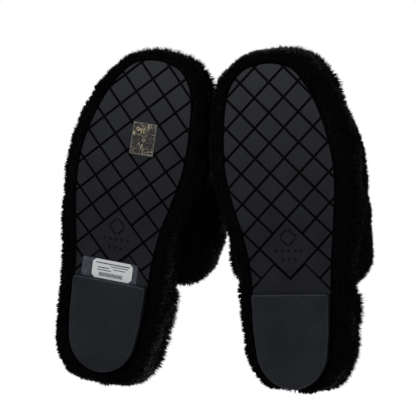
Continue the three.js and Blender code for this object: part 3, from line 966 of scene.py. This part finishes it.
# how many strands, how clumped and how wild they are, their thickness, and their material
FUR = {
    "wrap_pile": (19000, 0.6, 0.3, 0.5, "pile"),
    "band_pile": (19500, 0.6, 0.3, 0.5, "pile"),
    "sock_pile": (19000, 0.7, 0.4, 0.45, "sock_pile"),
    "band_lining": (15000, 0.7, 0.45, 0.5, "sock_pile"),
}
NODE_FINISHES = {"platform": "platform_foam", "insole_board": "insole_board", "footbed_seam": "thread",
                 "cushion_foam": "cushion_foam", "band_interlining": "interlining"}


def strand_count(slot):
    return FUR[slot][0]


def grow(name, side, slot, root, normal, length, lean, rng):
    """A fur piece with the settings of a slot, its strands rooted at points of a surface."""
    _, clump, wildness, thickness, material = FUR[slot]
    bend, tip = strand_lines(root, normal, length, lean, clump, wildness, rng)
    for points in (bend, tip):
        points[:, 2] = np.maximum(points[:, 2], FLOOR_CLEARANCE + 0.4 * rng.random(len(points)))
    width = thickness * rng.uniform(0.75, 1.25, len(root))
    points, faces, height = strands(root - normal * 0.8, bend, tip, width)
    shade = np.clip(0.5 + ripple(root, 22.0, 0.16, rng) + rng.normal(size=len(root)) * 0.2, 0, 1)
    fur = fur_piece(f"{side}_{name}", points, faces, height, shade, side, MATERIALS[material])
    fit(fur, side, slot)


def swirl(points, rng, strength):
    """A direction field that turns slowly over the surface."""
    return np.stack([ripple(points, 30.0, strength, rng, 4) for _ in range(3)], 1)


def patchy(length, root, rng):
    """Strand lengths that differ from strand to strand and from patch to patch."""
    return length * rng.uniform(0.8, 1.2, len(root)) + ripple(root, 25.0, 0.4, rng)


def on_show(points, direction):
    """Nought on the wrap's faces against the platform and the outsole, where no strand grows."""
    ring = OUTLINE[::8]
    gap = points[:, None, :2] - ring[None]
    nearest = np.argmin((gap ** 2).sum(2), axis=1)
    outside = (gap[np.arange(len(points)), nearest] * outward(ring)[nearest]).sum(1)
    sides = np.clip((outside - 1.2) / 2.5, 0.0, 1.0) * np.where(direction[:, 2] < -0.85, 0.5, 1.0)
    return np.where(direction[:, 2] > 0.45, 1.0, sides)


def build_sole(side):
    points, faces = outsole_mesh()
    piece = make_piece(f"{side}_tread_outsole", (points, faces), side, "sole_rubber", "sole_rubber",
                       f"{side}_outsole", smooth=False)
    # groove_depth paints shade down the grooves; raised waist marks, below nought, count double.
    relief = (points[:, 2] - underside(points[:, 1])) / GROOVE_DEPTH
    give_attribute(piece.data, "groove_depth", np.clip(np.where(relief < 0, -2.0 * relief, relief), 0, 1))
    points, faces = heel_lift_mesh()
    piece = make_piece(f"{side}_moulded_heel_lift", (points, faces), side, "lift_rubber", "lift_rubber",
                       f"{side}_heel_lift")
    # The lift's lower bevel ring: partly edge wear, partly painted highlight.
    give_attribute(piece.data, "edge_wear_and_highlight", (points[:, 2] > 0.05) & (points[:, 2] < 1.0))


def build_wrap(side, rng):
    grid = wrap_grid(side, rng)
    faces = [face[::-1] for face in grid_faces(*grid.shape[:2], close_rows=True, close_columns=True)]
    make_piece(f"{side}_wrap_underfur", (grid.reshape(-1, 3), faces), side, "underfur", "wrap_pile",
               f"{side}_side_wrap")
    normals = grid_normals(grid, True, True)
    for part in (1, 2):
        root, normal = scatter(grid, normals, strand_count("wrap_pile"), rng, True, True, on_show)
        over_sole = root[:, 2] - underside(root[:, 1])
        high = smoothstep(over_sole, 20.0, 32.0) * (1 - under_band(root[:, 1]))
        length = patchy(WRAP_FUR_LENGTH + WRAP_FUR_EXTRA * high, root, rng)
        length *= 1 - WRAP_HEEL_TRIM[side] * np.maximum(0.0, normal[:, 1]) ** 2 * (root[:, 1] > 200)
        lean = normal * [1, 1, 0] * (0.15 + 0.45 * high[:, None]) + [0.0, 0.12, -0.05]
        grow(f"wrap_fur_{part}", side, "wrap_pile", root, normal, length, lean + swirl(root, rng, 0.3), rng)


def build_sock(side, rng):
    rows = sock_rows(rng)
    piece = make_piece(f"{side}_sock_pad", capped(rows), side, "underfur", "sock_pile", f"{side}_sock")
    root, normal = sock_roots(np.array(rows[2:]), strand_count("sock_pile"), rng)
    length = SOCK_FUR_LENGTH * rng.uniform(0.6, 1.3, len(root))
    lean = swirl(root, rng, 0.55) + [0.0, 0.1, 0.0]
    grow("sock_fur", side, "sock_pile", root, normal, length, lean, rng)


def build_band(side, rng):
    stations = band_stations(*BAND_DEPTHS, BAND_ROWS)
    grid = band_grid(stations)
    lumps = ripple(grid.reshape(-1, 3), 18.0, 0.6, rng).reshape(grid.shape[:2])
    swell = (lumps + band_fluff(side, grid, stations))[..., None] * -grid_normals(grid, True, False)
    outside = BAND_ROWS + RIM_ROWS
    grid[:outside] += swell[:outside]
    make_piece(f"{side}_band_underfur", closed_tube(grid), side, "underfur", "band_pile",
               f"{side}_band_pile")
    furry = np.concatenate([grid[-RIM_ROWS - 1:], grid[:outside + 1]])
    normals = -grid_normals(furry, True, False)
    for part in (1, 2):
        root, normal = scatter(furry, normals, strand_count("band_pile"), rng, False, False)
        length = patchy(BAND_FUR_LENGTH, root, rng)
        lean = swirl(root, rng, 0.3) + [0.0, 0.22, -0.12]
        grow(f"band_fur_{part}", side, "band_pile", root, normal, length, lean, rng)


def build_lining(side, rng):
    grid = band_grid(band_stations(*LINING_DEPTHS, LINING_ROWS))
    make_piece(f"{side}_lining_skin", closed_tube(grid), side, "underfur", "band_lining",
               f"{side}_band_lining")
    inside = slice(LINING_ROWS + RIM_ROWS - 1, 2 * LINING_ROWS + RIM_ROWS + 1)
    normals = -grid_normals(grid, True, False)
    root, normal = scatter(grid[inside], normals[inside], strand_count("band_lining"), rng, False, False)
    length = LINING_FUR_LENGTH * rng.uniform(0.6, 1.3, len(root))
    grow("lining_fur", side, "band_lining", root, normal, length, swirl(root, rng, 0.6), rng)


def build_tapes(side):
    wide, deep = TAPE_HALF_SIZE
    for end, share, push in (("front", 0.0, -1.0), ("rear", 1.0, 1.0)):
        loop = [(share, push * wide * math.cos(t), TAPE_DEPTH + deep * math.sin(t) * push)
                for t in np.linspace(0, 2 * math.pi, 10, endpoint=False)]
        make_piece(f"{side}_{end}_edge_tape", closed_tube(band_grid(loop)), side, "binding", "binding",
                   f"{side}_band_{end}_binding")


def build_slipper(side):
    rng = np.random.default_rng(SEEDS[side])
    build_sole(side)
    build_wrap(side, rng)
    build_sock(side, rng)
    build_band(side, rng)
    build_lining(side, rng)
    build_tapes(side)
    for name, finish in NODE_FINISHES.items():
        finish_node(f"{side}_{name}", MATERIALS[finish])


def sock_roots(top, count, rng):
    """Roots over the sock's edge and its whole crown."""
    inner = top[-1]
    across = inner[(-np.arange(len(inner))) % len(inner)]
    crown = np.stack([inner * (1 - share) + across * share for share in np.linspace(0.0, 0.5, 12)])
    upright = np.zeros_like(crown)
    upright[..., 2] = 1.0
    edge_area, crown_area = surface_area(top), surface_area(crown)
    on_edge = int(count * (edge_area / (edge_area + crown_area)))
    normals = grid_normals(top, False, True)
    if normals[..., 2].mean() < 0:
        normals = -normals
    edge = scatter(top, normals, on_edge, rng, False, True)
    middle = scatter(crown, upright, count - on_edge, rng, False, True)
    return np.vstack([edge[0], middle[0]]), np.vstack([edge[1], middle[1]])


def surface_area(grid):
    along, across = np.diff(grid, axis=0)[:, :-1], np.diff(grid, axis=1)[:-1]
    return np.linalg.norm(np.cross(along, across), axis=2).sum()


# ------ stickers


FOIL_CELL = 1.0
LABEL_INK_DEPTH = 0.05


def in_plane(node):
    """A flat sticker in the right slipper's own plane: its corners, and its height as a slope, a level
    and half its thickness."""
    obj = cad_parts[node]
    world = np.array([(obj.matrix_world @ vertex.co)[:] for vertex in obj.data.vertices]) / MM
    moved = world - LEFT_ORIGIN + [PAIR_SPACING, PAIR_STAGGER, 0.0]
    cosine, sine = math.cos(RIGHT_YAW), math.sin(RIGHT_YAW)
    across = -(moved[:, 0] * cosine + moved[:, 1] * sine)
    along = moved[:, 1] * cosine - moved[:, 0] * sine
    slope, level = np.polyfit(along, moved[:, 2], 1)
    half_thickness = (moved[:, 2] - slope * along - level).max()
    corners = np.stack([across, along], 1)
    return corners.min(0), corners.max(0), slope, level, half_thickness


def foil_sheet():
    """The foil sticker as a fine closed sheet that knows how near its border each point is."""
    low, high, slope, level, half_thickness = in_plane("foil_sticker")
    columns, rows = ((high - low) / FOIL_CELL).astype(int) + 1
    across, along = np.meshgrid(np.linspace(low[0], high[0], columns), np.linspace(low[1], high[1], rows))
    height = slope * along + level
    lower, upper = (np.stack([across, along, height + half_thickness * face], 2).reshape(-1, 3)
                    for face in (-1, 1))
    count = len(lower)
    flat = grid_faces(rows, columns)
    faces = [face[::-1] for face in flat] + [tuple(count + index for index in face) for face in flat]
    border = [*range(columns), *range(2 * columns - 1, rows * columns, columns)]
    border += [*range(rows * columns - 2, (rows - 1) * columns - 1, -1)]
    border += [*range((rows - 2) * columns, 0, -columns)]
    for here, there in zip(border, border[1:] + border[:1]):
        faces.append((here, there, count + there, count + here))
    piece = make_piece("foil_sheet", (np.vstack([lower, upper]), faces), "right", "foil", "foil",
                       "foil_sticker", smooth=False)
    sides = [across - low[0], high[0] - across, along - low[1], high[1] - along]
    give_attribute(piece.data, "border_distance", np.tile(np.min(sides, axis=0).ravel(), 2))


def label_rules():
    """Plain ruled lines and a row of plain upright bars in place of the label's print."""
    low, high, slope, level, half_thickness = in_plane("price_label")
    middle, half = (low + high) / 2, (high - low) / 2
    bars = [(0.0, -0.62, 0.84, 0.05), (-0.34, -0.38, 0.44, 0.035), (0.45, -0.14, 0.28, 0.045)]
    bars += [(-0.35, -0.1, 0.3, 0.035), (0.4, 0.12, 0.34, 0.035)]
    bars += [(place, 0.56, 0.016, 0.2) for place in np.linspace(-0.52, 0.62, 20)]
    bm = bmesh.new()
    for place, line, wide, tall in bars:
        x, y = middle + half * [place, line]
        w, h = half * [wide, tall]
        bar = np.array([(x - w, y - h), (x + w, y - h), (x + w, y + h), (x - w, y + h)])
        depth = slope * y + level - half_thickness
        add_prism(bm, bar, depth - LABEL_INK_DEPTH, depth + LABEL_INK_DEPTH, 0.01)
    make_piece("label_rules", taken(bm), "right", "label_ink", "label_paper", smooth=False)


# ------ stage


FLOOR_SIZE = 6.0
FLOOR_LEVEL = -0.0002
UNDER_LAMPS = (  # name, place, size, power and colour; both aim at the middle
    ("sole_key", (-0.55, -1.0, -1.25), 1.0, 10.0, (0.9, 0.93, 1.0)),
    ("sole_fill", (1.2, 0.9, -1.2), 1.4, 1.5, (1.0, 1.0, 1.0)),
)
SUN_SPREAD = math.radians(35.0)
SUNS = (("top_key", (0.3, 0.45, -1.0), 4.4), ("top_back", (-0.3, -0.55, -1.0), 2.8))
LENS = 173.07692  # millimetres, with a sensor 36 mm wide
CAMERA_AIM = (9.6, -12.9, 0.0)
CAMERA_DISTANCE = 1577.5
CAMERA_SIDE_TILT = math.radians(19.0)
CAMERA_TOE_TILT = math.radians(3.0)
CAMERA_ROLL = math.radians(1.2)


def computed(tree, operation, *values):
    node = add_node(tree, "Math")
    node.operation = operation
    for socket, value in zip(node.inputs, values):
        give(tree, socket, value)
    return node.outputs["Value"]


def surface(tree, output, *values):
    """Sends a mix of two shaders, by a factor, to the output."""
    mix = add_node(tree, "MixShader")
    for socket, value in zip(mix.inputs, values):
        give(tree, socket, value)
    give(tree, output.inputs["Surface"], mix.outputs["Shader"])


def camera_ray(tree):
    return add_node(tree, "LightPath").outputs["Is Camera Ray"]


def build_stage():
    """A pale floor that shows only to a camera above it, so that the soles lie in open light."""
    mesh = bpy.data.meshes.new("floor")
    corners = [(x * FLOOR_SIZE, y * FLOOR_SIZE, 0) for x, y in ((-1, -1), (1, -1), (1, 1), (-1, 1))]
    mesh.from_pydata(corners, [], [(0, 1, 2, 3)])
    floor = linked("floor", mesh)
    floor.location.z = FLOOR_LEVEL
    material, tree, shader = node_material("pale_floor", (0.39, 0.39, 0.39), 0.9)
    clear = add_node(tree, "BsdfTransparent").outputs["BSDF"]
    behind = add_node(tree, "NewGeometry").outputs["Backfacing"]
    seen = computed(tree, "MULTIPLY", computed(tree, "SUBTRACT", 1.0, behind), camera_ray(tree))
    surface(tree, tree.nodes["Material Output"], seen, clear, shader.outputs["BSDF"])
    mesh.materials.append(material)


def build_world():
    """White to the camera, softer as a light."""
    world = bpy.data.worlds.new("studio")
    bpy.context.scene.world = world
    world.use_nodes = True
    tree = world.node_tree
    tree.nodes.clear()
    skies = [add_node(tree, "Background", Strength=strength, Color=color).outputs["Background"]
             for strength, color in ((0.3, (0.98, 0.99, 1, 1)), (1.0, (1, 1, 1, 1)))]
    surface(tree, add_node(tree, "OutputWorld"), camera_ray(tree), *skies)


def lamp(name, kind, power, direction):
    light = bpy.data.lights.new(name, kind)
    light.energy = power
    holder = linked(name, light)
    holder.rotation_euler = Vector(direction).to_track_quat("-Z", "Y").to_euler()
    return light, holder


def build_lights():
    """Two lamps under the soles and two broad suns over the slippers."""
    for name, place, size, power, color in UNDER_LAMPS:
        light, holder = lamp(name, "AREA", power, -Vector(place))
        light.shape, light.size, light.color = "DISK", size, color
        holder.location = place
    for name, direction, strength in SUNS:
        light, _ = lamp(name, "SUN", strength, direction)
        light.angle = SUN_SPREAD


def build_camera():
    camera = bpy.data.cameras.new("camera")
    camera.lens = LENS
    camera.clip_start, camera.clip_end = 0.05, 50.0
    side, toe = CAMERA_SIDE_TILT, CAMERA_TOE_TILT
    forward = Vector((-math.sin(side), math.sin(toe) * math.cos(side), math.cos(toe) * math.cos(side)))
    level = (Vector((1, 0, 0)) - forward * forward.x).normalized()
    down = forward.cross(level)
    right = level * math.cos(CAMERA_ROLL) + down * math.sin(CAMERA_ROLL)
    up = level * math.sin(CAMERA_ROLL) - down * math.cos(CAMERA_ROLL)
    rotation = Matrix((right, up, -forward)).transposed()
    place = Vector(CAMERA_AIM) * MM - forward * CAMERA_DISTANCE * MM
    holder = linked("camera", camera)
    holder.matrix_world = Matrix.Translation(place) @ rotation.to_4x4()
    bpy.context.scene.camera = holder


# ------ the scene

for slipper_side in SIDES:
    build_slipper(slipper_side)
foil_sheet()
finish_node("label_tape", MATERIALS["clear_tape"])
finish_node("price_label", MATERIALS["label_paper"])
label_rules()
build_stage()
build_world()
build_lights()
build_camera()
bpy.context.scene.view_settings.view_transform = "Standard"
